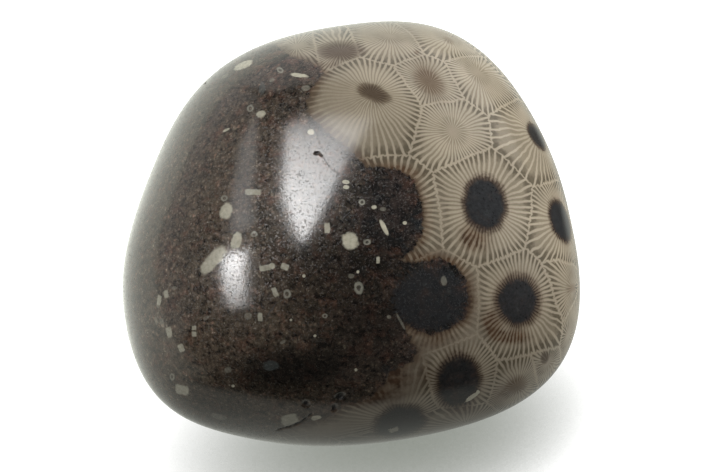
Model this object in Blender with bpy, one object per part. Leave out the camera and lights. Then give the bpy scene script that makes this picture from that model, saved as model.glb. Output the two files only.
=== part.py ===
"""A polished Petoskey stone: one rounded pebble of fossil coral limestone.

Metres, +Z up. The origin is the middle of the pebble's footprint, on the surface that it rests on.
+X points to the coral side of the stone, and -Y to the side that faces the viewer.
"""

import math

import bmesh
import bpy
import numpy as np
from mathutils import Vector

MM = 0.001

# The body is a rounded block, squarer seen from above than from the side.
HALF_WIDTH = 33.0 * MM
HALF_DEPTH = 30.7 * MM
HALF_HEIGHT = 24.5 * MM
PLAN_FULLNESS = 2.33
CROWN_FULLNESS = 2.15

# Broad swells and worn flats on that body. Azimuth runs from +X towards +Y, elevation up from the horizon,
# and the spread is the angle at which a lobe has lost two thirds of its height.
# Each entry: azimuth, elevation, height (negative is worn away), spread
LOBES = {
    "left front corner": (223, -5, 2.1 * MM, 17),
    "left side": (200, -10, 2.3 * MM, 40),
    "right front corner": (330, -10, 2.9 * MM, 25),
    "front belly": (260, -5, 1.2 * MM, 31),
    "back crest": (65, 10, 4.0 * MM, 29),
    "back left flat": (162, 10, -2.6 * MM, 28),
    "back right flat": (36, 10, -1.8 * MM, 35),
    "crown": (100, 58, 1.6 * MM, 38),
    "left slope of the crown": (205, 42, -1.0 * MM, 34),
    "front slope of the crown": (318, 38, -0.9 * MM, 34),
    "right slope of the crown": (20, 45, -0.8 * MM, 30),
    "front underside": (285, -50, -1.2 * MM, 35),
    "back underside": (120, -45, -0.8 * MM, 35),
}

# The underside is worn to a small flat, which the pebble rests on.
FLAT_DEPTH = 2.5 * MM
FLAT_ROUNDING = 1.0 * MM

# Faces along each edge of the cube that the pebble is blown up from
GRID = 24

COLLECTION = "petoskey_stone"
STONE_COLOUR = (0.20, 0.17, 0.14, 1.0)
STONE_ROUGHNESS = 0.22


def clear_scene():
    for item in list(bpy.data.objects):
        bpy.data.objects.remove(item)


def towards(azimuth, elevation):
    """The unit vector at this azimuth and elevation, in degrees."""
    a, e = math.radians(azimuth), math.radians(elevation)
    return np.array((math.cos(a) * math.cos(e), math.sin(a) * math.cos(e), math.sin(e)))


def body_radius(directions):
    """How far the rounded block reaches from its middle along each unit direction."""
    across, deep, up = np.abs(directions / (HALF_WIDTH, HALF_DEPTH, HALF_HEIGHT)).T
    plan = (across**PLAN_FULLNESS + deep**PLAN_FULLNESS) ** (1 / PLAN_FULLNESS)
    return (plan**CROWN_FULLNESS + up**CROWN_FULLNESS) ** (-1 / CROWN_FULLNESS)


def lobe_heights(directions):
    """What the swells and the worn flats add along each unit direction."""
    total = np.zeros(len(directions))
    for azimuth, elevation, height, spread in LOBES.values():
        sharpness = 1 / (1 - math.cos(math.radians(spread)))
        total += height * np.exp(sharpness * (directions @ towards(azimuth, elevation) - 1))
    return total


def worn_flat(heights):
    """Lifts what reaches below the resting flat, with a rounded edge round the flat."""
    flat = FLAT_DEPTH - HALF_HEIGHT
    share = np.maximum(1 - np.abs(heights - flat) / FLAT_ROUNDING, 0)
    return np.maximum(heights, flat) + share**2 * FLAT_ROUNDING / 4


def pebble_points(directions):
    """The pebble's surface along each unit direction, set down with its footprint's middle at the origin."""
    reach = body_radius(directions) + lobe_heights(directions)
    points = directions * reach[:, None]
    points[:, 2] = worn_flat(points[:, 2])
    middle = (points.min(axis=0) + points.max(axis=0)) / 2
    middle[2] = points[:, 2].min()
    return points - middle


def cube_of_faces():
    """A cube from -1 to 1, with each side cut into GRID by GRID squares."""
    cube = bmesh.new()
    bmesh.ops.create_cube(cube, size=2)
    bmesh.ops.subdivide_edges(cube, edges=cube.edges, cuts=GRID - 1, use_grid_fill=True)
    return cube


def evenly_spread(cube):
    """Unit directions to the cube's vertices, spread so that all the faces cover about the same angle."""
    corners = np.array([vertex.co for vertex in cube.verts])
    bent = np.tan(corners * math.pi / 4)
    return bent / np.linalg.norm(bent, axis=1)[:, None]


def stone_material():
    material = bpy.data.materials.new("polished_coral_limestone")
    material.use_nodes = True
    shader = material.node_tree.nodes["Principled BSDF"]
    shader.inputs["Base Color"].default_value = STONE_COLOUR
    shader.inputs["Roughness"].default_value = STONE_ROUGHNESS
    shader.inputs["Metallic"].default_value = 0.0
    return material


def make_stone(collection):
    cube = cube_of_faces()
    for vertex, point in zip(cube.verts, pebble_points(evenly_spread(cube)), strict=True):
        vertex.co = Vector(point)
    bmesh.ops.recalc_face_normals(cube, faces=cube.faces)
    mesh = bpy.data.meshes.new("stone")
    cube.to_mesh(mesh)
    cube.free()
    mesh.shade_smooth()
    mesh.materials.append(stone_material())
    collection.objects.link(bpy.data.objects.new("stone", mesh))


def main():
    clear_scene()
    collection = bpy.data.collections.new(COLLECTION)
    bpy.context.scene.collection.children.link(collection)
    make_stone(collection)


main()
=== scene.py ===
"""The looks of a polished Petoskey stone: its fine surface, coral cells, dark limestone and fossil bits.

Metres, +Z up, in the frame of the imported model. Places on the visible side are given by their pixel in a
picture of 708 by 472 pixels, and a ray from the camera finds them on the stone.
"""

import math

import bmesh
import bpy
import numpy as np
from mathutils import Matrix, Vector, noise
from mathutils.bvhtree import BVHTree
from mathutils.kdtree import KDTree


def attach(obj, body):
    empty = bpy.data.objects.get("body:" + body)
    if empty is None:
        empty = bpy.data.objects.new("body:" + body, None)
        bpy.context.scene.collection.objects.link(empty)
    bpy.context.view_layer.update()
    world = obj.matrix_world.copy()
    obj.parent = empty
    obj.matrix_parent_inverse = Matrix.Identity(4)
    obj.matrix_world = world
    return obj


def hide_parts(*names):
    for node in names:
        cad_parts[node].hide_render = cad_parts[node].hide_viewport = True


MM = 0.001
SEED = 7

# The camera: where it stands over the pebble, and its picture
PICTURE_WIDTH = 708
PICTURE_HEIGHT = 472
LENS_MM = 100
SENSOR_MM = 36
FOCAL_PIXELS = LENS_MM / SENSOR_MM * PICTURE_WIDTH
CAMERA_ELEVATION = 62
CAMERA_ACROSS = 0.4 * MM
CAMERA_UPWARD = 9.8 * MM
CAMERA_DISTANCE = 312.5 * MM
# About how wide a pixel is on the stone
PIXEL = 0.155 * MM
# A pixel just past the rim is drawn to the picture's middle by the first of these shares that hits the stone.
DRAWN_BACK = np.linspace(0, 0.2, 41)
# How much deeper than long a patch of the picture may be, seen from the camera
PATCH_DEPTH = 1.8

# The pebble's body is a rounded block with swells and worn flats, as in the solid that it replaces.
HALF_WIDTH = 33.0 * MM
HALF_DEPTH = 30.7 * MM
HALF_HEIGHT = 24.5 * MM
PLAN_FULLNESS = 2.33
CROWN_FULLNESS = 2.15
# Azimuth, elevation, height, spread
LOBES = {
    "left front corner": (223, -5, 2.1 * MM, 17),
    "left side": (200, -10, 2.3 * MM, 40),
    "right front corner": (330, -10, 2.9 * MM, 25),
    "front belly": (260, -5, 1.2 * MM, 31),
    "back crest": (65, 10, 4.0 * MM, 29),
    "back left flat": (162, 10, -2.6 * MM, 28),
    "back right flat": (36, 10, -1.8 * MM, 35),
    "crown": (100, 58, 1.6 * MM, 38),
    "left slope of the crown": (205, 42, -1.0 * MM, 34),
    "front slope of the crown": (318, 38, -0.9 * MM, 34),
    "right slope of the crown": (20, 45, -0.8 * MM, 30),
    "front underside": (285, -50, -1.2 * MM, 35),
    "back underside": (120, -45, -0.8 * MM, 35),
}
FLAT_DEPTH = 2.5 * MM
FLAT_ROUNDING = 1.0 * MM
GRID = 120

# Coral cells that show. Middle of the ribs, in pixels, and how many ribs there are
CELLS = {
    "star": (453, 131, 50),
    "brown": (429, 82, 48),
    "right crest": (478, 73, 50),
    "back": (449, 38, 48),
    "top": (390, 36, 50),
    "smoky": (340, 52, 46),
    "far left": (297, 46, 46),
    "shining": (371, 95, 52),
    "bay": (391, 212, 50),
    "great eye": (485, 206, 52),
    "right rim": (537, 134, 48),
    "rim eye": (562, 221, 50),
    "rim streak": (573, 288, 48),
    "toothed eye": (519, 302, 54),
    "island": (432, 300, 52),
    "slashed eye": (460, 381, 52),
    "low brown": (517, 387, 48),
    "low rim": (548, 362, 44),
    "front eye": (400, 420, 52),
    "front right": (466, 424, 48),
    "right low rim": (568, 335, 46),
}

# Points on the walls between the cells, in pixels, each with the cells that meet there
WALL_POINTS = [
    (460, 97, "star", "brown", "right crest"),
    (421, 109, "star", "brown", "shining"),
    (411, 157, "star", "shining", "bay"),
    (437, 174, "star", "bay", "great eye"),
    (493, 145, "star", "great eye", "right rim"),
    (489, 116, "star", "right rim", "right crest"),
    (395, 67, "brown", "shining", "top"),
    (417, 53, "brown", "top", "back"),
    (444, 61, "brown", "back", "right crest"),
    (360, 57, "shining", "top", "smoky"),
    (322, 73, "shining", "smoky", "far left"),
    (533, 187, "great eye", "right rim", "rim eye"),
    (526, 247, "great eye", "rim eye", "toothed eye"),
    (481, 268, "great eye", "toothed eye", "island"),
    (443, 249, "great eye", "island", "bay"),
    (546, 267, "toothed eye", "rim eye", "rim streak"),
    (563, 320, "toothed eye", "rim streak", "right low rim"),
    (560, 347, "toothed eye", "right low rim", "low rim"),
    (529, 355, "toothed eye", "low rim", "low brown"),
    (497, 361, "toothed eye", "low brown", "slashed eye"),
    (479, 336, "toothed eye", "slashed eye", "island"),
    (425, 354, "slashed eye", "island", "front eye"),
    (487, 403, "slashed eye", "low brown", "front right"),
    (439, 408, "slashed eye", "front eye", "front right"),
    (490, 130, "star", "right rim"),
    (414, 130, "star", "shining"),
    (531, 215, "great eye", "rim eye"),
    (438, 210, "great eye", "bay"),
    (551, 292, "toothed eye", "rim streak"),
    (475, 302, "toothed eye", "island"),
    (515, 100, "right rim", "right crest"),
    (556, 180, "right rim", "rim eye"),
    (468, 56, "back", "right crest"),
    (420, 42, "back", "top"),
    (357, 48, "top", "smoky"),
    (316, 52, "smoky", "far left"),
    (566, 261, "rim eye", "rim streak"),
    (537, 378, "low rim", "low brown"),
    (425, 380, "slashed eye", "front eye"),
]

# The eyes in the middle of cells: place, half sizes and tilt in the picture. Then how dark, how soft, how
# much of the limestone's colour they take, and how wide their toothed brown fringe is
EYES = {
    "brown": (429, 80, 21, 12, -60, 1.0, 0.65, 1.0, 0.1),
    "back": (449, 40, 6, 3, -30, 0.55, 0.5, 0.8, 0.0),
    "smoky": (341, 50, 21, 10, 0, 1.0, 0.43, 0.6, 0.2),
    "shining": (374, 93, 17, 8, -24, 0.9, 0.4, 0.2, 0.1),
    "bay": (388, 210, 33, 37, 10, 1.0, 0.08, 0.75, 0.3),
    "great eye": (485, 204, 22, 28.5, 5, 1.0, 0.09, 0.0, 0.25),
    "right rim": (537, 136, 15, 8, -58, 0.9, 0.28, 0.0, 0.0),
    "rim eye": (561, 221, 22, 12, -72, 1.0, 0.1, 0.1, 0.3),
    "rim streak": (573, 288, 8, 4, 10, 0.5, 0.6, 1.0, 0.0),
    "toothed eye": (518, 301, 23, 25, 0, 1.0, 0.07, 0.1, 0.9),
    "island": (431, 299, 38, 32, 0, 1.0, 0.08, 0.15, 0.6),
    "slashed eye": (459, 382, 22.5, 29, 0, 1.0, 0.07, 0.3, 0.5),
    "low brown": (517, 385, 11, 9, -40, 0.9, 0.5, 1.0, 0.3),
    "low rim": (545, 358, 4, 6, 0, 0.8, 0.4, 1.0, 0.1),
    "front eye": (400, 423, 26, 20, 15, 0.9, 0.12, 0.0, 0.5),
}

# The edge of the dark limestone, in pixels from the top rim down to the bottom rim, then on round the hidden
# side by azimuth and elevation
MATRIX_EDGE = [
    (275, 44), (290, 56), (308, 62), (318, 66), (323, 73), (318, 80), (312, 90), (307, 100), (308, 112),
    (322, 128), (345, 145), (366, 166), (385, 167), (400, 171), (415, 180), (421, 200), (423, 220),
    (420, 238), (412, 250), (400, 262), (420, 262), (440, 258), (455, 265), (466, 280), (468, 300),
    (465, 318), (450, 328), (430, 335), (412, 328), (402, 320), (410, 338), (417, 350), (413, 361),
    (398, 368), (389, 373), (384, 386), (366, 400), (343, 405), (330, 416), (300, 425), (275, 434),
    (255, 440),
]
MATRIX_EDGE_BEHIND = [
    (262, -22), (253, -36), (251, -52), (232, -51), (215, -65), (197, -52), (180, -56), (168, -38),
    (154, -35), (150, -20), (137, -19), (131, -5), (121, -4),
]
MATRIX_POLE = (205, 10)

# Brown stains in the coral: place, half sizes and tilt in the picture, then strength
STAINS = [
    (435, 262, 28, 8, 0, 1.0),
    (477, 241, 15, 11, 0, 0.8),
    (493, 325, 9, 16, 20, 1.3),
    (468, 234, 9, 12, 0, 0.6),
    (505, 392, 17, 8, 45, 0.6),
    (514, 337, 18, 7, 0, 1.2),
    (435, 340, 25, 10, 15, 0.6),
    (312, 70, 12, 9, 0, 1.0),
    (400, 170, 24, 7, -10, 0.8),
    (421, 235, 6, 14, 0, 0.8),
    (405, 253, 16, 9, 0, 0.7),
    (426, 372, 7, 16, 0, 0.4),
    (465, 411, 16, 5, 0, 0.6),
    (385, 398, 22, 9, 10, 0.5),
    (360, 399, 22, 10, 15, 1.0),
    (392, 372, 12, 16, 0, 0.6),
    (400, 378, 20, 14, 0, 0.5),
    (333, 64, 9, 4, 0, 0.6),
    (417, 52, 2.5, 2.5, 0, 1.0),
]

# Plain pale places in the coral, where the ribs hardly show: place, half sizes and tilt, then strength
PLAINS = [
    (474, 300, 8, 34, 0, 0.8),
    (440, 215, 7, 34, 0, 0.4),
    (470, 338, 20, 9, 15, 0.6),
    (440, 254, 20, 6, 0, 0.7),
    (345, 135, 28, 20, 0, 0.5),
    (336, 100, 22, 24, 0, 0.6),
    (402, 382, 17, 24, 0, 1.0),
    (392, 395, 12, 12, 0, 0.8),
    (373, 402, 15, 8, 0, 0.6),
    (420, 350, 12, 18, 0, 0.8),
    (322, 430, 34, 12, 10, 1.0),
    (440, 345, 18, 8, 20, 0.6),
    (410, 30, 40, 10, -5, 0.5),
]

# Darker limestone, and painted shade towards the bottom front: place, half sizes and tilt, then strength
DARK_STONE_AND_PAINTED_SHADE = [
    (285, 372, 62, 26, 5, 1.0),
    (370, 345, 50, 40, 20, 0.45),
    (352, 272, 75, 62, 0, 0.7),
    (215, 405, 45, 20, -20, 0.5),
    (385, 200, 38, 40, 0, 0.4),
]

# The kinds of fossil bits: how pale, how square, how much of a hole in the middle and how blue. Then those
# that show: place, half length, half breadth and tilt in the picture
BITS = {
    "shell": ((1.0, 2.3, 0.0, 0.0), [
        (243, 65, 10, 3.5, 22), (226, 130, 4, 1.2, 25), (299, 75, 9, 2.2, -8), (226, 211, 6, 8, -25),
        (213, 260, 17, 6.5, 50), (236, 241, 5, 9, -20), (350, 241, 8, 8.5, 20), (384, 227, 8.5, 2.2, -62),
        (316, 418, 5, 2.5, 15),
    ]),
    "plate": ((0.9, 5.0, 0.0, 0.2), [
        (253, 192, 7.5, 3, 0), (265, 268, 6, 3, 8), (285, 267, 4, 3, -20), (275, 292, 2.5, 5, 25),
        (327, 228, 3, 5, 0), (378, 260, 1.8, 3.5, 0), (159, 300, 2, 5, -10), (166, 294, 2.5, 4, 10),
        (260, 317, 2.5, 4, 0), (169, 332, 3, 5.5, 15), (194, 328, 2.5, 2.4, 0), (194, 334, 2.5, 2.4, 0),
        (181, 348, 3, 4, 20), (182, 390, 7, 5, -10), (290, 420, 9, 6, 15), (394, 430, 5, 2.4, 20),
    ]),
    "disc": ((1.0, 2.0, 0.0, 0.1), [
        (261, 114, 5, 4, 0), (311, 132, 3.5, 3, 0), (272, 266, 3, 3, 0), (346, 182, 3.5, 2, 0),
        (346, 187, 3.2, 2, 0), (374, 207, 2.6, 2.2, 0), (405, 223, 2.2, 2, 0),
    ]),
    "ring": ((0.8, 2.0, 0.55, 0.5), [
        (250, 108, 3.5, 4, 0), (280, 70, 5, 3, -60), (224, 198, 3.6, 3.2, 0), (254, 234, 4, 3, 0),
        (287, 294, 4, 4.5, 0), (367, 242, 4, 3, 0), (362, 202, 3.5, 3, 0), (359, 288, 4.5, 6, 0),
        (172, 377, 2.6, 4, 0), (325, 316, 2.8, 2.4, 0),
    ]),
    "faint": ((0.35, 2.4, 0.0, 0.4), [
        (225, 76, 4, 2, 25), (306, 88, 4.5, 3, 10), (383, 209, 3, 2, 0), (351, 276, 3, 2.5, 0),
        (389, 317, 2.2, 2, 0), (444, 281, 3, 5, 10), (174, 288, 3.2, 1.8, 0), (248, 316, 4, 3.5, 0),
        (162, 323, 2, 5, 10), (156, 321, 1.6, 4, 10), (158, 305, 2, 3, 0), (219, 417, 9, 2.8, -12),
        (228, 370, 4, 3, 20), (283, 342, 3, 1.6, 30), (401, 322, 9, 1.3, -62), (272, 80, 3, 2, 30),
        (206, 318, 3, 2, 40),
    ]),
    "blue": ((0.45, 2.4, 0.0, 1.0), [
        (262, 88, 3, 7, 0), (271, 366, 8, 5, 0),
    ]),
    "glint": ((1.3, 2.0, 0.0, 0.1), [
        (304, 276, 1.6, 1.6, 0), (358, 272, 1.5, 1.5, 0), (356, 370, 1.5, 1.5, 0), (233, 386, 1.6, 1.4, 0),
        (315, 336, 1.6, 1.4, 0), (291, 320, 1.4, 1.2, 0), (472, 397, 8, 2, 36), (478, 392, 2, 2.4, 20),
    ]),
}
HIDDEN_BITS = 130
HIDDEN_BIT_HALF_MM = (0.25, 1.1)
# Hidden bits lie where the surface leans at least this far from the camera.
BITS_UNSEEN = -0.1
# A bit counts only this near to its middle, and further off it is put far away.
BIT_REACH = 8 * MM
FAR_AWAY = 1.0
BIT_BATCHES = 12

# How firmly the walls go through WALL_POINTS, and the seeds and their constants keep to the cells' middles
WALL_PULL = 1 / 24
SEED_PULL = 0.06
CONSTANT_PULL = 0.012

# Hidden coral cells: how far apart they stand, how near they may start, and how many rounds even them out
CELL_SPACING = 12.5 * MM
CLOSEST_SHARE = 0.86
EVENING_ROUNDS = 12
SAMPLE_POINTS = 9000
# Surface that leans this far from the camera doesn't show, nor does coral so many millimetres into limestone.
UNSEEN = 0.12
DEEP = 5
HALF_RIBS = (21, 25)
HIDDEN_EYE_HALF_MM = (1.6, 4.2)
HIDDEN_EYE_FLATTEST = 0.6
HIDDEN_FRINGE = (0.2, 0.9)
# How often a hidden eye is dark, brown or missing
HIDDEN_EYE_ODDS = (0.55, 0.2, 0.25)
BROWN_EYE = (0.6, 0.5, 0.6, 0.1)
BLANK_EYE = (0.0, 0.1, 0.0, 0.0)
# Hidden cells nearer than this to the limestone, in millimetres, have no eye.
EYELESS_MARGIN = 2

# Steps along each leg of the limestone's edge
EDGE_STEPS = 24

# Pits and cracks: place, half length, half breadth and tilt in the picture, depth in millimetres
PITS = [
    (317, 153, 2.8, 1.3, 10, 0.2),
    (321, 155, 1.8, 1.0, -35, 0.15),
    (327, 163, 8, 0.5, -56, 0.0),
    (336, 172, 7, 0.45, -28, 0.0),
    (272, 309, 9, 0.6, 55, 0.0),
    (306, 404, 3, 3, 0, 0.3),
    (340, 397, 5, 3, 25, 0.35),
    (334, 408, 2.5, 4, -20, 0.25),
    (205, 83, 1.6, 1.6, 0, 0.15),
    (281, 429, 5, 1, 14, 0.15),
    (289, 427, 5, 1, 14, 0.18),
    (297, 424, 5, 1.2, 20, 0.2),
    (304, 420, 5, 1.2, 35, 0.2),
    (310, 415, 4, 1, 35, 0.16),
]
PIT_REFINEMENT = 3
PIT_REACH = 2.2

UNDULATION = 0.05 * MM
UNDULATION_WAVE = 9 * MM
# The stone is even where it rests, and fully wavy from this height on.
UNDULATION_START = 2 * MM
# The step by which the surface's normals are found, in radians
NORMAL_STEP = 1e-4
# The waver of the cell walls and ribs
WAVER = 0.2 * MM
WAVER_WAVE = 2.2 * MM
# How much of its part of the baking map each side of the cube fills
MAP_SHARE = 0.985

# Half a rib's breadth: a share of the width of one rib and gap, but no more than so many millimetres.
# Its soft edge is given in the same way.
RIB_SHARE = 0.27
RIB_HALF = 0.15
RIB_EDGE_SHARE = 0.26
RIB_EDGE = 0.11
# How far from the cell's middle every other rib starts, in millimetres, and how unevenly
SHORT_RIB_START = (1.7, 2.9)
SHORT_RIB_SPREAD = 2.0
# How far the walls step towards the ribs that meet them, how wide they are and how far the gaps beside them
# are dark, in millimetres
WALL_ZIGZAG = 0.2
WALL_HALF = (0.02, 0.15)
WALL_SHADE = (0.3, 1.9)
# How far the pale heart of a cell reaches, in millimetres
HEART_REACH = (0.3, 1.5)
# Softer eyes than this are smoky brown, not black.
SMOKY = (0.3, 0.5)
FINE_BUMP = 0.008 * MM
SPECK_ROUGHNESS = 0.3
PIT_ROUGHNESS = 0.4
STONE_ROUGHNESS = 0.125

# Colours, as linear red, green and blue
WHITE = (1.0, 1.0, 1.0)
PIT_BLACK = (0.006, 0.006, 0.006)
RIB = (0.320, 0.275, 0.203)
GAP = (0.200, 0.168, 0.119)
DARK_GAP = (0.100, 0.083, 0.057)
WALL = (0.335, 0.288, 0.214)
HEART = (0.265, 0.222, 0.165)
EYE_BLACK = (0.020, 0.021, 0.022)
EYE_BROWN = (0.048, 0.028, 0.017)
STAIN = (0.110, 0.064, 0.036)
LIMESTONE = (0.042, 0.030, 0.025)
CHARCOAL = (0.0105, 0.0098, 0.0088)
OLIVE_BROWN = (0.105, 0.080, 0.055)
RUSTY = (0.085, 0.042, 0.028)
BLUE_BLACK = (0.018, 0.021, 0.022)
RUSTY_GRAIN = (0.19, 0.105, 0.072)
OLIVE_GRAIN = (0.17, 0.15, 0.105)
PALE_GRAIN = (0.32, 0.28, 0.22)
CREAM = (0.50, 0.47, 0.36)
SMOKE_BROWN = (0.088, 0.055, 0.029)
BLUISH = (0.10, 0.115, 0.11)

# The room: soft cards of light, each by its four corners' azimuth and elevation seen from the stone, and
# the light that each corner gives
CARD_DISTANCE = 0.6
CARD_HEIGHT = 0.04
CARD_CELLS = 12
CARDS = {
    "ceiling": (((207, 71), (158, 61), (129, 48), (68, 52)), (23, 23, 3.0, 0.5)),
    "left_strip": (((184, 41), (188, 50), (220, 38), (215, 31)), (27, 30, 5, 5)),
    "left_strip_behind": (((176, 45), (174, 53), (130, 28), (132, 20)), (3.5, 3.5, 1.5, 1.5)),
    "left_wall": (((207, -1), (203, 24), (125, 28), (125, -1)), (0.7, 0.05, 0.4, 1.1)),
    "back_wall": (((125, -1), (120, 26), (40, 26), (35, -1)), (1.0, 0.8, 0.6, 0.8)),
}
# Softer light that lights the stone but isn't seen in its polish
SOFT_CARDS = {
    "key": (((208, 72), (160, 50), (132, 45), (70, 54)), (3.2, 5.4, 2.1, 1.8)),
    "left_key": (((175, 20), (175, 50), (225, 45), (220, 15)), (3.6, 3.6, 1.8, 1.8)),
    "right_fill": (((80, -2), (60, 36), (0, 34), (-20, -2)), (6.5, 5, 6.5, 6.5)),
}
HAZE = 0.05
HAZE_RADIUS = 2.0
FLOOR_TINT = (0.97, 1.0, 0.91)
FLOOR_SHADOW = (0.10, 0.11, 0.09)
FLOOR_HALF = 1.2
FLOOR_HEIGHT = -0.1 * MM
FLOOR_GLOW = 1.75
# The floor's shade: how near the stone must be, how strong it is in front and behind, and where front begins,
# which turns a little to the left
FLOOR_SHADE_SAMPLES = 12
FLOOR_SHADE_REACH = 18 * MM
FLOOR_SHADE_POWER = 4.0
FLOOR_SHADE_BEHIND = 0.8
FLOOR_SHADE_FRONT = (-0.036, -0.012)
FLOOR_SHADE_TURN = 0.2
BACKGROUND = (1.1, 1.1, 1.1)
# What the stone mirrors of the floor. Azimuth, glow near the stone, how far out that reaches, glow beyond
MIRRORED_FLOOR = [
    (0, 0.50, 0.064, 0.02),
    (45, 0.55, 0.064, 0.03),
    (80, 0.90, 0.300, 0.80),
    (150, 1.55, 1.000, 1.20),
    (190, 1.50, 1.000, 0.90),
    (225, 0.57, 0.120, 0.04),
    (260, 0.46, 0.105, 0.02),
    (310, 0.27, 0.090, 0.03),
]
MIRROR_RADII = (0.02, 0.04, 0.06, 0.075, 0.09, 0.1, 0.11, 0.125, 0.15, 0.2, 0.4, 1.2)
MIRROR_TURN = 10
MIRROR_HEIGHT = -0.2 * MM
# The glow near the stone fades into the one beyond from this share of its reach, over this much more of it.
MIRROR_FADE_START = 0.93
MIRROR_FADE_LENGTH = 0.14


# Geometry of the pebble

def towards(azimuth, elevation):
    """The unit vector at this azimuth and elevation, in degrees."""
    a, e = math.radians(azimuth), math.radians(elevation)
    return np.array((math.cos(a) * math.cos(e), math.sin(a) * math.cos(e), math.sin(e)))


def unit_rows(vectors):
    return vectors / np.linalg.norm(vectors, axis=1)[:, None]


def body_radius(directions):
    """How far the rounded block reaches from its middle along each unit direction."""
    across, deep, up = np.abs(directions / (HALF_WIDTH, HALF_DEPTH, HALF_HEIGHT)).T
    plan = (across**PLAN_FULLNESS + deep**PLAN_FULLNESS) ** (1 / PLAN_FULLNESS)
    return (plan**CROWN_FULLNESS + up**CROWN_FULLNESS) ** (-1 / CROWN_FULLNESS)


def lobe_heights(directions):
    """What the swells and the worn flats add along each unit direction."""
    total = np.zeros(len(directions))
    for azimuth, elevation, height, spread in LOBES.values():
        sharpness = 1 / (1 - math.cos(math.radians(spread)))
        total += height * np.exp(sharpness * (directions @ towards(azimuth, elevation) - 1))
    return total


def worn_flat(heights):
    """Lifts what reaches below the resting flat, with a rounded edge round the flat."""
    flat = FLAT_DEPTH - HALF_HEIGHT
    share = np.maximum(1 - np.abs(heights - flat) / FLAT_ROUNDING, 0)
    return np.maximum(heights, flat) + share**2 * FLAT_ROUNDING / 4


def pebble_points(directions):
    """The pebble's surface along each unit direction, before it is set down on its footprint."""
    reach = body_radius(directions) + lobe_heights(directions)
    points = directions * reach[:, None]
    points[:, 2] = worn_flat(points[:, 2])
    return points


def surface_normals(directions):
    """The pebble's normals, by small steps along it."""
    first = unit_rows(np.cross(directions, (0.31, 0.52, 0.79)))
    second = np.cross(directions, first)
    base = pebble_points(directions)
    along = pebble_points(unit_rows(directions + first * NORMAL_STEP)) - base
    across = pebble_points(unit_rows(directions + second * NORMAL_STEP)) - base
    return unit_rows(np.cross(along, across))


def even_cube():
    """The cube that the pebble is blown up from, with each side cut into GRID by GRID squares."""
    cube = bmesh.new()
    bmesh.ops.create_cube(cube, size=2)
    bmesh.ops.subdivide_edges(cube, edges=cube.edges, cuts=GRID - 1, use_grid_fill=True)
    cube.verts.index_update()
    return cube


def cube_points(cube):
    return np.array([vertex.co for vertex in cube.verts])


def evenly_spread(corners):
    """Unit directions to points on a cube, spread so that all its squares cover about the same angle."""
    return unit_rows(np.tan(corners * math.pi / 4))


def refine_near_pits(cube, points, view):
    """Cuts the cube's squares finer where a pit will be."""
    near = np.zeros(len(points), bool)
    for x, y, half_length, half_breadth, *_ in PITS:
        reach = max(half_length, half_breadth) * PIT_REACH * PIXEL
        near |= np.linalg.norm(points - view.cast(x, y)[0], axis=1) < reach
    chosen = [edge for edge in cube.edges if any(near[vertex.index] for vertex in edge.verts)]
    bmesh.ops.subdivide_edges(cube, edges=chosen, cuts=PIT_REFINEMENT, use_grid_fill=True)


# Places by pixel

def turned(first, second, turn):
    """Two directions turned in their own plane."""
    along = first * math.cos(turn) + second * math.sin(turn)
    return along, second * math.cos(turn) - first * math.sin(turn)


def tangent_frame(normal):
    """Two unit vectors along the surface."""
    first = np.cross((0.05, 0.12, 1.0), normal)
    first = first / np.linalg.norm(first)
    return first, np.cross(normal, first)


class View:
    """Finds places on the stone by their pixel in the picture."""

    def __init__(self, points, faces):
        lean = math.radians(CAMERA_ELEVATION)
        self.right = Vector((1, 0, 0))
        self.back = Vector((0, -math.cos(lean), math.sin(lean)))
        self.up = self.back.cross(self.right)
        self.eye = self.right * CAMERA_ACROSS + self.up * CAMERA_UPWARD + self.back * CAMERA_DISTANCE
        self.tree = BVHTree.FromPolygons([Vector(point) for point in points], faces)

    def cast(self, x, y):
        """The point under a pixel, and the normal there."""
        for inwards in DRAWN_BACK:
            column = x + (PICTURE_WIDTH / 2 - x) * inwards
            row = y + (PICTURE_HEIGHT / 2 - y) * inwards
            aside = self.right * ((column - PICTURE_WIDTH / 2) / FOCAL_PIXELS)
            upward = self.up * ((PICTURE_HEIGHT / 2 - row) / FOCAL_PIXELS)
            place, normal, *_ = self.tree.ray_cast(self.eye, aside + upward - self.back)
            if place is not None:
                return np.array(place), np.array(normal)
        raise ValueError(f"pixel {x}, {y} isn't on the stone")

    def patch(self, x, y, half_length, half_breadth, tilt):
        """The place under a pixel, and three gradients. Dotted with a step from that place along the stone,
        they give its length, breadth and depth in halves of an ellipse that has this size and tilt."""
        place, _ = self.cast(x, y)
        sight = Vector(place) - self.eye
        depth = -sight.dot(self.back)
        pixels = FOCAL_PIXELS / depth
        columns = (self.right + self.back * (sight.dot(self.right) / depth)) * pixels
        rows = (self.up + self.back * (sight.dot(self.up) / depth)) * pixels
        along, across = turned(columns, rows, math.radians(tilt))
        through = self.back * (pixels / (PATCH_DEPTH * max(half_length, half_breadth)))
        return place, np.array((along / half_length, across / half_breadth, through))


def patch_place(steps, gradients):
    """Where steps from a patch's middle lie in it, as two numbers whose length is 1 on its edge."""
    along, across, through = ((steps * gradients[..., k, :]).sum(-1) for k in range(3))
    flat = along**2 + across**2 + 1e-6
    stretch = np.sqrt(1 + through**2 / flat)
    return along * stretch, across * stretch


def soft_patch(view, points, *patch):
    """1 in the middle of a patch of the picture, and less and less towards its edge and beyond."""
    place, gradients = view.patch(*patch)
    u, v = patch_place(points - place, gradients)
    return np.exp(-((u**2 + v**2) ** 1.5))


def soft_spots(view, points, entries):
    """The sum of soft patches, up to 1. Each entry ends with its strength."""
    return np.minimum(sum(strength * soft_patch(view, points, *patch) for *patch, strength in entries), 1)


# Coral cells

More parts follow.
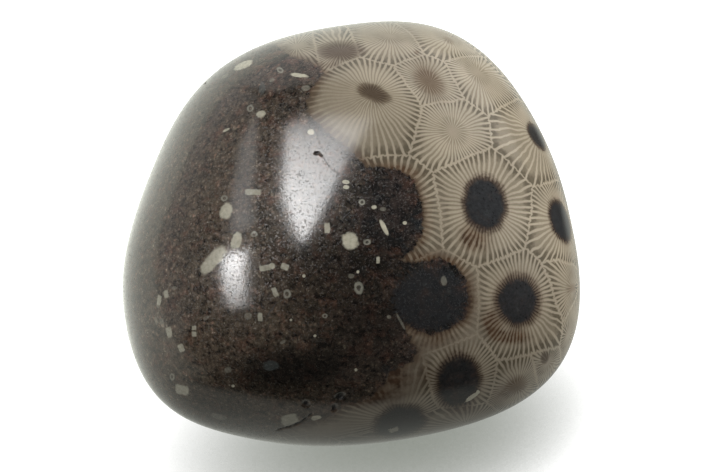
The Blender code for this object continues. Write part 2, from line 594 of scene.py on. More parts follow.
def solve_seeds(middles, walls):
    """Moves each cell's seed, and gives it a constant, so that the walls pass through WALL_POINTS.

    A point belongs to the cell with the least value of constant - 2 point . seed. Where two cells meet the
    values are equal, which is one linear equation; the rest hold the seeds near the cells' middles."""
    names = list(CELLS)
    middles = middles / MM
    rows, answers = [], []

    def equation(answer, weight, *terms):
        row = np.zeros(4 * len(names))
        for cell, part, factor in terms:
            row[4 * cell + part] += factor * weight
        rows.append(row)
        answers.append(answer * weight)

    for point, cells in walls:
        for other in cells[1:]:
            a, b = names.index(cells[0]), names.index(other)
            terms = [(a, part, -2 * value) for part, value in enumerate(point / MM)]
            terms += [(b, part, 2 * value) for part, value in enumerate(point / MM)]
            equation(0, WALL_PULL, (a, 3, 1), (b, 3, -1), *terms)
    for cell, middle in enumerate(middles):
        for part in range(3):
            equation(middle[part], SEED_PULL, (cell, part, 1))
        terms = [(cell, part, 2 * middle[part]) for part in range(3)]
        equation(middle @ middle, CONSTANT_PULL, (cell, 3, -1), *terms)
    solved = np.linalg.lstsq(np.array(rows), np.array(answers), rcond=None)[0].reshape(-1, 4)
    return solved[:, :3] * MM, solved[:, 3] * MM**2


def spread_hidden(points, seeds, rng):
    """Seeds for the cells that don't show, spread evenly over the rest of the stone."""
    chosen = []
    for k in rng.permutation(len(points)):
        others = np.array([*seeds, *chosen])
        if np.linalg.norm(others - points[k], axis=1).min() > CELL_SPACING * CLOSEST_SHARE:
            chosen.append(points[k])
    chosen = np.array(chosen)
    for _ in range(EVENING_ROUNDS):
        everyone = np.concatenate((seeds, chosen))
        owner = np.argmin(((points[:, None] - everyone) ** 2).sum(axis=2), axis=1)
        for k in range(len(chosen)):
            own = points[owner == len(seeds) + k]
            if len(own):
                chosen[k] = own[np.argmin(np.linalg.norm(own - own.mean(axis=0), axis=1))]
    return chosen


class Cells:
    """The coral cells: seeds that part them, the frames that their ribs turn in, and their eyes."""

    def __init__(self, view, points, normals, depth):
        rng = np.random.default_rng(SEED)
        places, directions = zip(*(view.cast(x, y) for x, y, _ in CELLS.values()))
        walls = [(view.cast(x, y)[0], cells) for x, y, *cells in WALL_POINTS]
        seeds, constants = solve_seeds(np.array(places), walls)
        unseen = np.flatnonzero((normals @ np.array(view.back) < UNSEEN) | (depth < -DEEP))
        sample = rng.choice(unseen, SAMPLE_POINTS, replace=False)
        hidden = spread_hidden(points[sample], seeds, rng)
        nearest = [int(np.argmin(((points - place) ** 2).sum(axis=1))) for place in hidden]
        self.seeds = np.concatenate((seeds, hidden))
        self.constants = np.concatenate((constants, (hidden**2).sum(axis=1)))
        self.middles = np.array([*places, *hidden])
        frames = [tangent_frame(normal) for normal in (*directions, *normals[nearest])]
        self.first, self.second = (np.array(part) / MM for part in zip(*frames))
        counts = [count for _, _, count in CELLS.values()]
        self.counts = np.array(counts + [2 * rng.integers(*HALF_RIBS) for _ in hidden], float)
        eyes = [self.shown_eye(view, k, name) for k, name in enumerate(CELLS)]
        eyes += [self.hidden_eye(len(CELLS) + k, rng) for k in range(len(hidden))]
        for k in np.flatnonzero(depth[nearest] < EYELESS_MARGIN):
            eyes[len(CELLS) + k] = (*eyes[len(CELLS) + k][:2], BLANK_EYE)
        self.eye_places, self.eye_gradients, self.looks = (np.array(part) for part in zip(*eyes))

    def shown_eye(self, view, k, name):
        """Place, gradients and look of a cell's eye as the picture shows it."""
        if name not in EYES:
            return self.middles[k], np.array((self.first[k], self.second[k], self.first[k] * 0)), BLANK_EYE
        x, y, half_length, half_breadth, tilt, *look = EYES[name]
        return *view.patch(x, y, half_length, half_breadth, tilt), look

    def hidden_eye(self, k, rng):
        """Place, gradients and look of an eye that is up to chance."""
        length, breadth = sorted(rng.uniform(*HIDDEN_EYE_HALF_MM, 2), reverse=True)
        along, across = turned(self.first[k], self.second[k], rng.uniform(0, math.pi))
        kind = rng.choice(3, p=HIDDEN_EYE_ODDS)
        look = ((1.0, 0.08, 0.1, rng.uniform(*HIDDEN_FRINGE)), BROWN_EYE, BLANK_EYE)[kind]
        breadth = max(breadth, HIDDEN_EYE_FLATTEST * length)
        return self.middles[k], np.array((along / length, across / breadth, along * 0)), look

    def owners(self, centres):
        """The four cells that each face is nearest to, nearest first."""
        scores = self.constants - 2 * centres @ self.seeds.T
        return np.argsort(scores, axis=1)[:, :4]

    def wall_distances(self, points, inner, outers):
        """How far each point is, in millimetres, inside cell inner from its walls to the outer cells."""
        found = []
        for outer in outers:
            lead = self.constants[outer] - self.constants[inner]
            lead = lead - 2 * (points * (self.seeds[outer] - self.seeds[inner])).sum(axis=1)
            apart = np.linalg.norm(self.seeds[outer] - self.seeds[inner], axis=1)
            found.append(lead / (2 * apart) / MM)
        return np.stack(found, axis=1)

    def rib_frame(self, points, k):
        """Two distances from the cell's middle, in millimetres, and its count of ribs."""
        step = points - self.middles[k]
        u, v = (step * self.first[k]).sum(axis=1), (step * self.second[k]).sum(axis=1)
        return np.stack((u, v, self.counts[k]), axis=1)

    def eye_frame(self, points, k):
        """The place in the cell's eye, and how dark the eye is."""
        u, v = patch_place(points - self.eye_places[k], self.eye_gradients[k])
        return np.stack((u, v, self.looks[k, 0]), axis=1)


# Fossil bits and the edge of the limestone

class Bits:
    """The fossil bits in the dark limestone, those that show as listed and the rest strewn."""

    def __init__(self, view, points, normals, in_limestone):
        rng = np.random.default_rng(SEED + 1)
        made = [(*view.patch(*patch), form) for form, patches in BITS.values() for patch in patches]
        forms = [form for form, _ in BITS.values()]
        hidden = np.flatnonzero(in_limestone & (normals @ np.array(view.back) < BITS_UNSEEN))
        for k in rng.choice(hidden, HIDDEN_BITS, replace=False):
            length, breadth = rng.uniform(*HIDDEN_BIT_HALF_MM, 2) * MM
            along, across = turned(*tangent_frame(normals[k]), rng.uniform(0, math.pi))
            gradients = np.array((along / length, across / breadth, along * 0))
            made.append((points[k], gradients, forms[rng.integers(len(forms))]))
        self.places, self.gradients, self.forms = (np.array(part) for part in zip(*made))

    def nearest_two(self, centres):
        """The two bits that each face is deepest in or nearest to."""
        found = []
        for part in np.array_split(centres, BIT_BATCHES):
            step = part[:, None] - self.places
            u, v = patch_place(step, self.gradients)
            score = u**2 + v**2
            score[(step**2).sum(axis=2) > BIT_REACH**2] = np.inf
            found.append(np.argsort(score, axis=1)[:, :2])
        return np.concatenate(found)

    def frame(self, points, k):
        """The place in the bit, and how pale the bit is."""
        step = points - self.places[k]
        step[np.linalg.norm(step, axis=1) > BIT_REACH] = FAR_AWAY
        u, v = patch_place(step, self.gradients[k])
        return np.stack((u, v, self.forms[k, 0]), axis=1)


def flattened(directions):
    """Directions as points in a plane: the angle from the limestone's middle, along its bearing."""
    pole = towards(*MATRIX_POLE)
    first, second = tangent_frame(pole)
    angle = np.arccos(np.clip(directions @ pole, -1, 1))
    bearing = np.arctan2(directions @ second, directions @ first)
    return np.stack((angle * np.cos(bearing), angle * np.sin(bearing)), axis=1)


def raised(flat):
    """The directions that flattened() gives these plane points."""
    pole = towards(*MATRIX_POLE)
    first, second = tangent_frame(pole)
    angle = np.linalg.norm(flat, axis=1)
    bearing = np.arctan2(flat[:, 1], flat[:, 0])
    level = np.outer(np.cos(bearing), first) + np.outer(np.sin(bearing), second)
    return np.outer(np.cos(angle), pole) + level * np.sin(angle)[:, None]


def inside_polygon(points, corners):
    inside = np.zeros(len(points), bool)
    x, y = points.T
    for (x1, y1), (x2, y2) in zip(corners, np.roll(corners, -1, axis=0)):
        if y1 != y2:
            crossing = x1 + (y - y1) * (x2 - x1) / (y2 - y1)
            inside ^= ((y1 > y) != (y2 > y)) & (x < crossing)
    return inside


def coral_depth(view, points, directions, middle):
    """How many millimetres each point lies in the coral, from the limestone's edge. Limestone is below 0."""
    shown = np.array([view.cast(x, y)[0] + middle for x, y in MATRIX_EDGE])
    behind = np.array([towards(*place) for place in MATRIX_EDGE_BEHIND])
    corners = flattened(np.concatenate((unit_rows(shown), behind)))
    steps = np.linspace(0, 1, EDGE_STEPS, endpoint=False)[:, None]
    legs = [a + (b - a) * steps for a, b in zip(corners, np.roll(corners, -1, axis=0))]
    outline = pebble_points(raised(np.concatenate(legs))) - middle
    tree = KDTree(len(outline))
    for k, place in enumerate(outline):
        tree.insert(place, k)
    tree.balance()
    distance = np.array([tree.find(point)[2] for point in points])
    return np.where(inside_polygon(flattened(directions), corners), -distance, distance) / MM


# The stone's mesh

def dig_pits(view, points, normals):
    """The points with the pits sunk in, and how deep in a pit each one is, from 0 to 1."""
    share = np.zeros(len(points))
    sunk = points.copy()
    for *patch, depth in PITS:
        pit = soft_patch(view, points, *patch)
        sunk -= normals * (pit * depth * MM)[:, None]
        share = np.maximum(share, pit)
    return sunk, share


def undulated(points, normals):
    """A hand-ground surface isn't quite even: it is lowered here and there, and never raised."""
    wave = np.array([noise.noise(Vector(point / UNDULATION_WAVE)) for point in points])
    ease = np.clip(points[:, 2] / UNDULATION_START, 0, 1)
    return points - normals * ((wave + 1) / 2 * UNDULATION * ease)[:, None]


def warped(points):
    """The points with a slight waver, which the cell walls and ribs follow."""
    # Without a seed of its own, noise_vector differs from run to run.
    noise.seed_set(SEED)
    waver = [noise.noise_vector(Vector(point / WAVER_WAVE)) for point in points]
    return points + np.array(waver) * WAVER


def add_object(name, data):
    thing = bpy.data.objects.new(name, data)
    bpy.context.scene.collection.objects.link(thing)
    return thing


def add_attribute(mesh, name, domain, values):
    kind, field = ("FLOAT_VECTOR", "vector") if values.ndim == 2 else ("FLOAT", "value")
    attribute = mesh.attributes.new(name, kind, domain)
    attribute.data.foreach_set(field, values.astype(np.float32).ravel())


def corners_of(mesh):
    """The vertex of each face corner, and the face of each face corner."""
    vertices = np.empty(len(mesh.loops), np.int32)
    mesh.loops.foreach_get("vertex_index", vertices)
    totals = np.empty(len(mesh.polygons), np.int32)
    mesh.polygons.foreach_get("loop_total", totals)
    return vertices, np.repeat(np.arange(len(totals)), totals)


def face_means(values, vertices, faces, count):
    sums = np.stack([np.bincount(faces, values[vertices, k], count) for k in range(3)], axis=1)
    return sums / np.bincount(faces, minlength=count)[:, None]


def add_baking_map(mesh, cube, vertices, faces):
    """Lays the six sides of the cube that the stone is blown up from side by side, three by two."""
    count = len(mesh.polygons)
    means = face_means(cube, vertices, faces, count)
    axis = np.argmax(np.abs(means), axis=1)
    side = (axis * 2 + (means[np.arange(count), axis] > 0))[faces]
    rows = np.arange(len(vertices))
    first, second = (cube[vertices][rows, ((axis + turn) % 3)[faces]] for turn in (1, 2))
    u = (side % 3 + 0.5 + first * MAP_SHARE / 2) / 3
    v = (side // 3 + 0.5 + second * MAP_SHARE / 2) / 2
    layer = mesh.uv_layers.new(name="OFBake")
    layer.data.foreach_set("uv", np.stack((u, v), axis=1).astype(np.float32).ravel())


def add_cell_attributes(mesh, cells, points, vertices, faces):
    """What the material reads of the two cells that each face is nearest to."""
    wavered = warped(points)
    owners = cells.owners(face_means(wavered, vertices, faces, len(mesh.polygons)))[faces]
    corner = wavered[vertices]
    one, two, three, four = owners.T
    for label, inner, outers in (("1", one, (two, three, four)), ("2", two, (one, three, four))):
        add_attribute(mesh, "walls_" + label, "CORNER", cells.wall_distances(corner, inner, outers))
        add_attribute(mesh, "ribs_" + label, "CORNER", cells.rib_frame(corner, inner))
        add_attribute(mesh, "eye_" + label, "CORNER", cells.eye_frame(corner, inner))
        add_attribute(mesh, "look_" + label, "CORNER", cells.looks[inner, 1:])


def add_bit_attributes(mesh, bits, points, vertices, faces):
    """What the material reads of the two fossil bits that each face is nearest to."""
    nearest = bits.nearest_two(face_means(points, vertices, faces, len(mesh.polygons)))[faces]
    corner = points[vertices]
    for label, k in zip("12", nearest.T):
        add_attribute(mesh, "bit_" + label, "CORNER", bits.frame(corner, k))
        add_attribute(mesh, "form_" + label, "CORNER", bits.forms[k, 1:])


def mesh_from(cube, points):
    """The cube's mesh with its vertices at these points. The cube is used up."""
    for vertex, point in zip(cube.verts, points, strict=True):
        vertex.co = Vector(point)
    bmesh.ops.recalc_face_normals(cube, faces=cube.faces)
    mesh = bpy.data.meshes.new("polished_stone")
    cube.to_mesh(mesh)
    cube.free()
    mesh.shade_smooth()
    return mesh


def make_stone():
    """Makes the stone, and returns the view that found the places on it."""
    cube = even_cube()
    coarse = pebble_points(evenly_spread(cube_points(cube)))
    middle = (coarse.min(axis=0) + coarse.max(axis=0)) / 2
    middle[2] = coarse[:, 2].min()
    view = View(coarse - middle, [[vertex.index for vertex in face.verts] for face in cube.faces])
    refine_near_pits(cube, coarse - middle, view)
    corners = cube_points(cube)
    directions = evenly_spread(corners)
    normals = surface_normals(directions)
    even = pebble_points(directions) - middle
    points, pit = dig_pits(view, undulated(even, normals), normals)
    mesh = mesh_from(cube, points)
    vertices, faces = corners_of(mesh)
    add_baking_map(mesh, corners, vertices, faces)
    depth = coral_depth(view, even, directions, middle)
    # dark is darker limestone in the middle, and painted shade towards the bottom front.
    stain, plain, dark = (soft_spots(view, even, entries) for entries in (STAINS, PLAINS, DARK_STONE_AND_PAINTED_SHADE))
    add_attribute(mesh, "ground", "POINT", np.stack((depth, stain, plain), axis=1))
    add_attribute(mesh, "pit", "POINT", pit)
    add_attribute(mesh, "dark", "POINT", dark)
    add_cell_attributes(mesh, Cells(view, even, normals, depth), even, vertices, faces)
    add_bit_attributes(mesh, Bits(view, even, normals, depth < -1), even, vertices, faces)
    mesh.materials.append(stone_material())
    stone = add_object("polished_stone", mesh)
    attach(stone, "root")
    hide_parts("stone")
    return view


# Writing materials as arithmetic

class Field:
    """One output of a material's node, with arithmetic that adds the nodes it needs."""

    def __init__(self, socket):
        self.socket = socket

    def __add__(self, other):
        return maths("ADD", self, other)

    def __sub__(self, other):
        return maths("SUBTRACT", self, other)

    def __rsub__(self, other):
        return maths("SUBTRACT", other, self)

    def __mul__(self, other):
        return maths("MULTIPLY", self, other)

    def __truediv__(self, other):
        return maths("DIVIDE", self, other)

    def __rtruediv__(self, other):
        return maths("DIVIDE", other, self)

    def __pow__(self, other):
        return maths("POWER", self, other)


def tree_of(*values):
    return next(value.socket.id_data for value in values if isinstance(value, Field))


def feed(tree, value, socket):
    """Links a field to a socket, or sets a plain value on it."""
    if isinstance(value, Field):
        tree.links.new(value.socket, socket)
    elif socket.type == "RGBA":
        socket.default_value = (*value, 1.0)
    else:
        socket.default_value = value


def add_node(tree, kind, inputs=None, **settings):
    """A new node with these settings, and with inputs fed by their names or numbers."""
    node = tree.nodes.new("ShaderNode" + kind)
    for name, value in settings.items():
        setattr(node, name, value)
    for key, value in (inputs or {}).items():
        feed(tree, value, node.inputs[key])
    return node


def maths(operation, *values):
    return Field(add_node(tree_of(*values), "Math", dict(enumerate(values)), operation=operation).outputs[0])


def least(first, *others):
    """The least of these values."""
    for other in others:
        first = maths("MINIMUM", first, other)
    return first


def smooth(low, high, value):
    """0 below low, 1 above high, and an S-shaped curve between them."""
    inputs = {"Value": value, "From Min": low, "From Max": high}
    node = add_node(tree_of(low, high, value), "MapRange", inputs, interpolation_type="SMOOTHSTEP")
    return Field(node.outputs["Result"])


def mixed(kind, share, low, high):
    """low where share is 0 and high where it is 1, for kind VECTOR or RGBA."""
    tree = tree_of(share, low, high)
    node = add_node(tree, "Mix", data_type=kind, clamp_factor=True)
    for value, socket in zip((share, low, high), [socket for socket in node.inputs if socket.enabled]):
        feed(tree, value, socket)
    return Field(next(socket for socket in node.outputs if socket.enabled))


def colour(share, low, high):
    return mixed("RGBA", share, low, high)


def scaled(vector, factor):
    """A place or a colour, times a factor."""
    node = add_node(tree_of(vector, factor), "VectorMath", {0: vector, "Scale": factor}, operation="SCALE")
    return Field(node.outputs[0])


def joined(x, y, z):
    return Field(add_node(tree_of(x, y, z), "CombineXYZ", {0: x, 1: y, 2: z}).outputs[0])


def split(vector):
    return [Field(socket) for socket in add_node(tree_of(vector), "SeparateXYZ", {0: vector}).outputs]


def reading(tree, name, output="Vector"):
    """What the mesh says at this place, by an attribute's name."""
    return Field(add_node(tree, "Attribute", attribute_name=name).outputs[output])


def object_place(tree):
    """The place on the object, in metres."""
    return Field(add_node(tree, "TexCoord").outputs["Object"])


def clouds(place, wave, detail=2.0, roughness=0.5):
    """Soft noise about 0, from -0.5 to 0.5, with waves of this many millimetres."""
    inputs = {"Vector": place, "Scale": 1 / wave, "Detail": detail, "Roughness": roughness}
    return Field(add_node(tree_of(place), "TexNoise", inputs).outputs[0]) - 0.5


def grains(place, size):
    """Grains of this many millimetres: how far from a grain's middle, and three random numbers a grain."""
    node = add_node(tree_of(place), "TexVoronoi", {"Vector": place, "Scale": 1 / size})
    return Field(node.outputs["Distance"]), split(Field(node.outputs["Color"]))


def bent(place, wave, reach):
    """The place moved about by noise, so that grains get crooked."""
    tree = tree_of(place)
    bend = Field(add_node(tree, "TexNoise", {"Vector": place, "Scale": 1 / wave}).outputs["Color"])
    inputs = {0: bend, 1: (reach, reach, reach), 2: place}
    return Field(add_node(tree, "VectorMath", inputs, operation="MULTIPLY_ADD").outputs[0])


# The stone's material. Its places are in millimetres.

def rib_pattern(place, ribs):
    """How far into a rib a place is, where 1 is a rib's middle and 0 the gap's, the width of one rib and gap,
    the rib's number, and how far the place is from the cell's middle."""
    u, v, count = split(ribs)
    radius = maths("SQRT", u * u + v * v)
    phase = maths("ARCTAN2", v, u) * count / (2 * math.pi) + clouds(place, 2.0) * 0.5
    number = maths("ROUND", phase)
    nearness = 1.0 - maths("ABSOLUTE", phase - number) * 2.0
    return nearness, radius * (2 * math.pi) / count, number, radius


def coral_cell(place, label):
    """One of the two cells that a place is nearest to: how far into a rib the place is, and in one vector how
    much of a rib it is, the rib's number, and how far the cell's middle is."""
    nearness, pitch, number, radius = rib_pattern(place, reading(tree_of(place), "ribs_" + label))
    across = (1.0 - nearness) * pitch * 0.5
    half = least(pitch * RIB_SHARE, RIB_HALF)
    soft = least(pitch * RIB_EDGE_SHARE, RIB_EDGE)
    rib = 1.0 - smooth(half - soft * 0.5, half + soft, across + clouds(place, 0.3) * 0.05)
    odd = maths("ABSOLUTE", maths("MODULO", number, 2.0))
    start = radius + clouds(joined(number, 0.0, 0.0), 1.0) * SHORT_RIB_SPREAD
    grown = smooth(*SHORT_RIB_START, start)
    return nearness, joined(rib * (1.0 - odd * (1.0 - grown)), number, radius)


def coral_colour(place, plain):
    """The coral's colour, and how much of a rib or wall each place is."""
    first_near, first = coral_cell(place, "1")
    second_near, second = coral_cell(place, "2")
    own_lead, *leads = split(reading(tree_of(place), "walls_1"))
    lead = own_lead + (first_near - second_near) * WALL_ZIGZAG + clouds(place, 0.6) * 0.12
    rib, number, radius = split(mixed("VECTOR", maths("GREATER_THAN", lead, 0.0), second, first))
    edge = least(maths("ABSOLUTE", lead), *[maths("ABSOLUTE", part) for part in leads])
    wall = 1.0 - smooth(*WALL_HALF, edge)
    dash = clouds(joined(number * 3.7, radius * 0.9, 0.0), 1.0, 1.0)
    near_wall = 1.0 - smooth(*WALL_SHADE, edge + dash * 2.0)
    gap = colour(near_wall * smooth(0.05, 0.3, edge), GAP, DARK_GAP)
    gap = colour(smooth(0.05, 0.3, clouds(place, 0.5, 2.0)) * 0.2, gap, RIB)
    heart = 1.0 - smooth(*HEART_REACH, radius + clouds(place, 1.0) * 0.8)
    calm = maths("MAXIMUM", heart * 0.8, plain * 0.9)
    coral = colour(rib * (1.0 - heart * 0.5) * (1.0 - plain * 0.9), colour(calm, gap, HEART), RIB)
    coral = colour(wall * (0.8 - plain * 0.6), coral, WALL)
    return coral, maths("MAXIMUM", rib, wall) * (1.0 - plain * 0.8)


def stained(place, coral, solid, stain, depth):
    """Brown stains, and the brown margin along the limestone, which reach further in the gaps."""
    margin = 1.0 - smooth(0.0, 2.1, depth + clouds(place, 1.1) * 1.8 + solid * 0.3)
    amount = stain * (clouds(place, 0.8, 3.0) * 2.4 + 1.3) * (1.0 - solid * 0.5)
    amount = maths("MAXIMUM", amount * 0.9, margin * 0.75)
    return colour(amount, coral, colour(clouds(place, 1.6) * 1.6 + 0.7 - solid * 0.5, STAIN, EYE_BROWN))


def limestone_colour(place, dark):
    """Dark brown limestone in blurred patches, full of small rusty, olive and pale grains."""
    x, y, _ = split(place)
    brown_side = smooth(10.0, -24.0, x + y * 0.3 + clouds(place, 8.0) * 14)
    patches = smooth(-0.12, 0.16, clouds(bent(place, 2.0, 2.5), 3.2, 4.0, 0.6))
    ground = colour(patches, CHARCOAL, LIMESTONE)
    ground = colour(brown_side * 0.6, ground, OLIVE_BROWN)
    ground = colour(smooth(0.0, 0.2, clouds(bent(place, 3.0, 4.0), 1.9, 4.0)) * 0.6, ground, RUSTY)
    bluish = smooth(0.04, 0.2, clouds(bent(place, 4.0, 3.0), 2.7, 4.0)) * (0.75 - brown_side * 0.6)
    ground = colour(bluish, ground, BLUE_BLACK)
    distance, (pick, _, hue) = grains(bent(place, 0.6, 0.7), 0.55)
    body = 1.0 - smooth(0.15, 0.6, distance)
    grain = colour(hue, RUSTY_GRAIN, OLIVE_GRAIN)
    ground = colour(body * smooth(0.45, 0.95, pick) * (brown_side * 0.55 + 0.17), ground, grain)
    distance, (pick, _, _) = grains(bent(place, 0.3, 0.2), 0.27)
    pale = smooth(0.9, 0.99, pick) * (1.0 - smooth(0.2, 0.5, distance))
    ground = colour(pale * (brown_side * 0.35 + 0.2), ground, PALE_GRAIN)
    mottle = clouds(bent(place, 1.5, 1.2), 0.8, 4.0, 0.75) * 5.8 + 1.1
    # dark lowers the colour: darker stone in the middle, and painted shade towards the bottom front.
    return scaled(ground, maths("MAXIMUM", mottle, 0.15) * (1.0 - dark * 0.86))


def with_eye(place, under, solid, limestone, in_coral, label):
    """Lays a cell's dark eye over what is under it, with ragged teeth between the ribs."""
    tree = tree_of(place)
    u, v, darkness = split(reading(tree, "eye_" + label))
    softness, warmth, fringe = split(reading(tree, "look_" + label))
    smoky = smooth(*SMOKY, softness)
    radius = maths("SQRT", u * u + v * v) + clouds(place, 1.6) * 0.24 + clouds(place, 0.4, 3.0) * 0.24
    warm = (1.0 - smooth(1.0, 1.5, radius)) * fringe * (1.0 - solid * 0.4)
    under = colour(warm * 0.4 * darkness * in_coral, under, STAIN)
    halo = (1.0 - smooth(0.95, fringe * 0.12 + 1.2, radius)) * (1.0 - smoky)
    under = colour(halo * (1.0 - solid * 0.15) * 0.85 * darkness * in_coral, under, EYE_BROWN)
    toothed = radius + (solid - 0.5) * (fringe * 0.25)
    core = (1.0 - smooth(0.95 - softness, softness + 1.02, toothed)) * darkness
    core = core * (1.0 - smoky * solid * 0.35)
    black = colour(smooth(0.72, 1.0, radius) * 0.6 * in_coral, EYE_BLACK, EYE_BROWN)
    black = colour(smooth(0.05, 0.25, clouds(bent(place, 1.0, 2.0), 2.2, 3.0)) * 0.6, black, LIMESTONE)
    black = colour(smooth(0.08, 0.3, clouds(place, 1.3, 4.0)) * 0.22, black, BLUISH)
    black = scaled(black, clouds(place, 0.5, 3.0, 0.7) * 1.6 + 1.0)
    return colour(core, under, colour(smoky, colour(warmth, black, limestone), SMOKE_BROWN))


def with_bit(place, under, label):
    """Lays a fossil bit over what is under it."""
    tree = tree_of(place)
    u, v, paleness = split(reading(tree, "bit_" + label))
    squareness, hole, blueness = split(reading(tree, "form_" + label))
    crooked = clouds(place, 1.1) * 0.7
    across = maths("ABSOLUTE", u + crooked) ** squareness + maths("ABSOLUTE", v - crooked) ** squareness
    radius = across ** (1.0 / maths("MAXIMUM", squareness, 1.0)) + clouds(place, 0.35) * 0.2
    hollow = 1.0 - smooth(hole - 0.15, hole + 0.02, radius)
    body = (1.0 - smooth(0.78, 1.15, radius)) * (1.0 - hollow * 0.85)
    tint = scaled(colour(blueness, CREAM, BLUISH), clouds(place, 0.5, 3.0) * 0.9 + 1.0)
    return colour(body * paleness * 0.93, under, tint)


def new_material(name):
    material = bpy.data.materials.new(name)
    material.use_nodes = True
    return material, material.node_tree


def stone_material():
    """Polished coral and limestone, laid out by what the mesh says at each place."""
    material, tree = new_material("polished_coral_limestone")
    place = scaled(object_place(tree), 1 / MM)
    depth, stain, plain = split(reading(tree, "ground"))
    pit = reading(tree, "pit", "Fac")
    coral, solid = coral_colour(place, plain)
    tone = clouds(place, 5.0) * 0.45 + clouds(place, 0.3, 2.0, 0.7) * 0.3 + 0.94
    coral = stained(place, scaled(coral, tone), solid, stain, depth)
    in_coral = smooth(-0.25, 0.25, depth + clouds(place, 0.9, 3.0) * 1.4 - solid * 0.15)
    # The dark attribute carries darker stone and the painted shade towards the bottom front.
    limestone = limestone_colour(place, reading(tree, "dark", "Fac"))
    base = colour(in_coral, limestone, coral)
    for label in "21":
        base = with_eye(place, base, solid, limestone, in_coral, label)
    for label in "12":
        base = with_bit(place, base, label)
    base = colour(pit * 0.9, base, PIT_BLACK)
    specks = smooth(0.05, 0.13, clouds(place, 0.3, 2.0, 0.7)) * (1.0 - in_coral * 0.8) * SPECK_ROUGHNESS
    roughness = specks + clouds(place, 1.5, 3.0) * 0.06 + pit * PIT_ROUGHNESS + STONE_ROUGHNESS
    bump = add_node(tree, "Bump", {"Distance": FINE_BUMP, "Height": clouds(place, 0.3, 2.0, 0.6)})
    looks = {"Base Color": base, "Roughness": roughness, "Normal": Field(bump.outputs["Normal"])}
    for name, value in looks.items():
        feed(tree, value, tree.nodes["Principled BSDF"].inputs[name])
    return material


# The floor, the light and the camera

def let_glow(tree, tint, strength):
    """Makes a new material give light of its own instead of reflecting it."""
    tree.nodes.remove(tree.nodes["Principled BSDF"])
    glow = add_node(tree, "Emission", {"Color": tint, "Strength": strength})
    tree.links.new(glow.outputs[0], tree.nodes["Material Output"].inputs["Surface"])


def glow_material(name, tint=WHITE, strength=None):
    """A material that gives light, as strong as this or, without a number, as the mesh says at each place."""
    material, tree = new_material(name)
    let_glow(tree, tint, reading(tree, "glow", "Fac") if strength is None else strength)
    return material


def shaded_floor_material():
    """White that darkens softly only where the stone stands close over it."""
    material, tree = new_material("pale_floor")
    near = add_node(tree, "AmbientOcclusion", {"Distance": FLOOR_SHADE_REACH}, samples=FLOOR_SHADE_SAMPLES)
    x, y, _ = split(object_place(tree))
    in_front = 1.0 - smooth(*FLOOR_SHADE_FRONT, y - x * FLOOR_SHADE_TURN)
    power = in_front * (FLOOR_SHADE_POWER - FLOOR_SHADE_BEHIND) + FLOOR_SHADE_BEHIND
    let_glow(tree, colour(Field(near.outputs["AO"]) ** power, FLOOR_SHADOW, WHITE), FLOOR_GLOW)
    return material


def make_plate(name, half, height, material):
    """A level square that belongs to the room."""
    mesh = bpy.data.meshes.new(name)
    corners = [(-half, -half, height), (half, -half, height), (half, half, height), (-half, half, height)]
    mesh.from_pydata(corners, [], [(0, 1, 2, 3)])
    mesh.materials.append(material)
    plate = add_object(name, mesh)
    return plate


def make_glow_mesh(name, points, faces, light, material):
    """A mesh that gives light of its own, which the camera doesn't see."""
    mesh = bpy.data.meshes.new(name)
    mesh.from_pydata([tuple(point) for point in points], [], faces)
    add_attribute(mesh, "glow", "POINT", np.array(light))
    mesh.materials.append(material)
    card = add_object(name, mesh)
    card.visible_camera = False
    card.visible_shadow = False
    return card


def mirrored_glow(azimuth, radius):
    """How strongly the floor glows in the polish, this way and this far from the stone's middle."""
    table = np.array(MIRRORED_FLOOR)
    near, reach, far = (np.interp(azimuth, table[:, 0], table[:, k], period=360) for k in (1, 2, 3))
    share = min(max((radius / reach - MIRROR_FADE_START) / MIRROR_FADE_LENGTH, 0), 1)
    return near + (far - near) * share


def make_floor():
    """A pale floor to look at, and apart from it the floor as the polished stone mirrors it."""
    floor = make_plate("floor", FLOOR_HALF, FLOOR_HEIGHT, shaded_floor_material())
    floor.visible_glossy = False
    floor.visible_diffuse = False
    floor.visible_shadow = False
    azimuths = range(0, 360, MIRROR_TURN)
    turns = len(azimuths)
    places = [(azimuth, radius) for radius in MIRROR_RADII for azimuth in azimuths]
    points = [towards(azimuth, 0) * radius for azimuth, radius in places]
    light = [mirrored_glow(azimuth, radius) for azimuth, radius in places]
    faces = []
    for ring in range(0, len(places) - turns, turns):
        for k in range(turns):
            a, b = ring + k, ring + (k + 1) % turns
            faces.append((a, b, b + turns, a + turns))
    glow = glow_material("mirrored_floor_glow", FLOOR_TINT)
    mirror = make_glow_mesh("mirrored_floor", points, faces, light, glow)
    mirror.location = (0, 0, MIRROR_HEIGHT)
    mirror.visible_diffuse = False


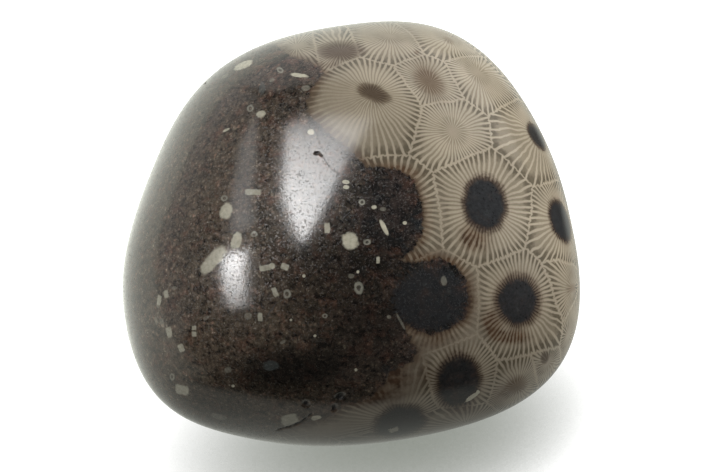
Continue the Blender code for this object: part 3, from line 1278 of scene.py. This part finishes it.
def make_card(name, corners, glows, material):
    """A soft card of light between four directions, as seen from the stone."""
    directions = [towards(*corner) for corner in corners]
    steps = np.linspace(0, 1, CARD_CELLS + 1)
    points, light = [], []
    for s in steps:
        for t in steps:
            shares = ((1 - s) * (1 - t), s * (1 - t), s * t, (1 - s) * t)
            points.append(sum(share * corner for share, corner in zip(shares, directions)) * CARD_DISTANCE)
            light.append(sum(share * glow for share, glow in zip(shares, glows)))
    row = CARD_CELLS + 1
    faces = [(k, k + 1, k + row + 1, k + row) for k in range(row * CARD_CELLS) if k % row < CARD_CELLS]
    card = make_glow_mesh(name, points, faces, light, material)
    card.location = (0, 0, CARD_HEIGHT)
    return card


def make_haze():
    """The dim room all round."""
    bpy.ops.mesh.primitive_uv_sphere_add(segments=24, ring_count=12, radius=HAZE_RADIUS)
    haze = bpy.context.object
    haze.name = "room_haze"
    haze.data.materials.append(glow_material("dim_room", strength=HAZE))
    haze.visible_camera = False
    haze.visible_shadow = False


def light_scene():
    """Cards that show in the polish, softer ones that light the stone, and a white background."""
    soft = glow_material("soft_light")
    for name, (corners, glows) in CARDS.items():
        make_card(name, corners, glows, soft).visible_diffuse = False
    for name, (corners, glows) in SOFT_CARDS.items():
        make_card(name, corners, glows, soft).visible_glossy = False
    make_haze()
    world = bpy.data.worlds.new("pale_background")
    bpy.context.scene.world = world
    world.use_nodes = True
    world.node_tree.nodes["Background"].inputs["Color"].default_value = (*BACKGROUND, 1.0)
    for ray in ("diffuse", "glossy", "transmission", "scatter"):
        setattr(world.cycles_visibility, ray, False)
    bpy.context.scene.view_settings.view_transform = "Standard"


def make_camera(view):
    lens = bpy.data.cameras.new("camera")
    lens.lens = LENS_MM
    lens.sensor_width = SENSOR_MM
    camera = add_object("camera", lens)
    camera.location = view.eye
    camera.rotation_euler = (math.radians(90 - CAMERA_ELEVATION), 0, 0)
    bpy.context.scene.camera = camera


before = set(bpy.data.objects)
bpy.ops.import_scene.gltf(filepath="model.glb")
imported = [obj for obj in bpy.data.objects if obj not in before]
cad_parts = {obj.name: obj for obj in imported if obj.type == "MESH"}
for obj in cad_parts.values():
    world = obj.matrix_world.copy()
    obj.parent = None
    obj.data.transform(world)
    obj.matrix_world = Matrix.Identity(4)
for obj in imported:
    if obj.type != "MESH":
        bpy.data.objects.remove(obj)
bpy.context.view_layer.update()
stone_view = make_stone()
make_camera(stone_view)
make_floor()
light_scene()
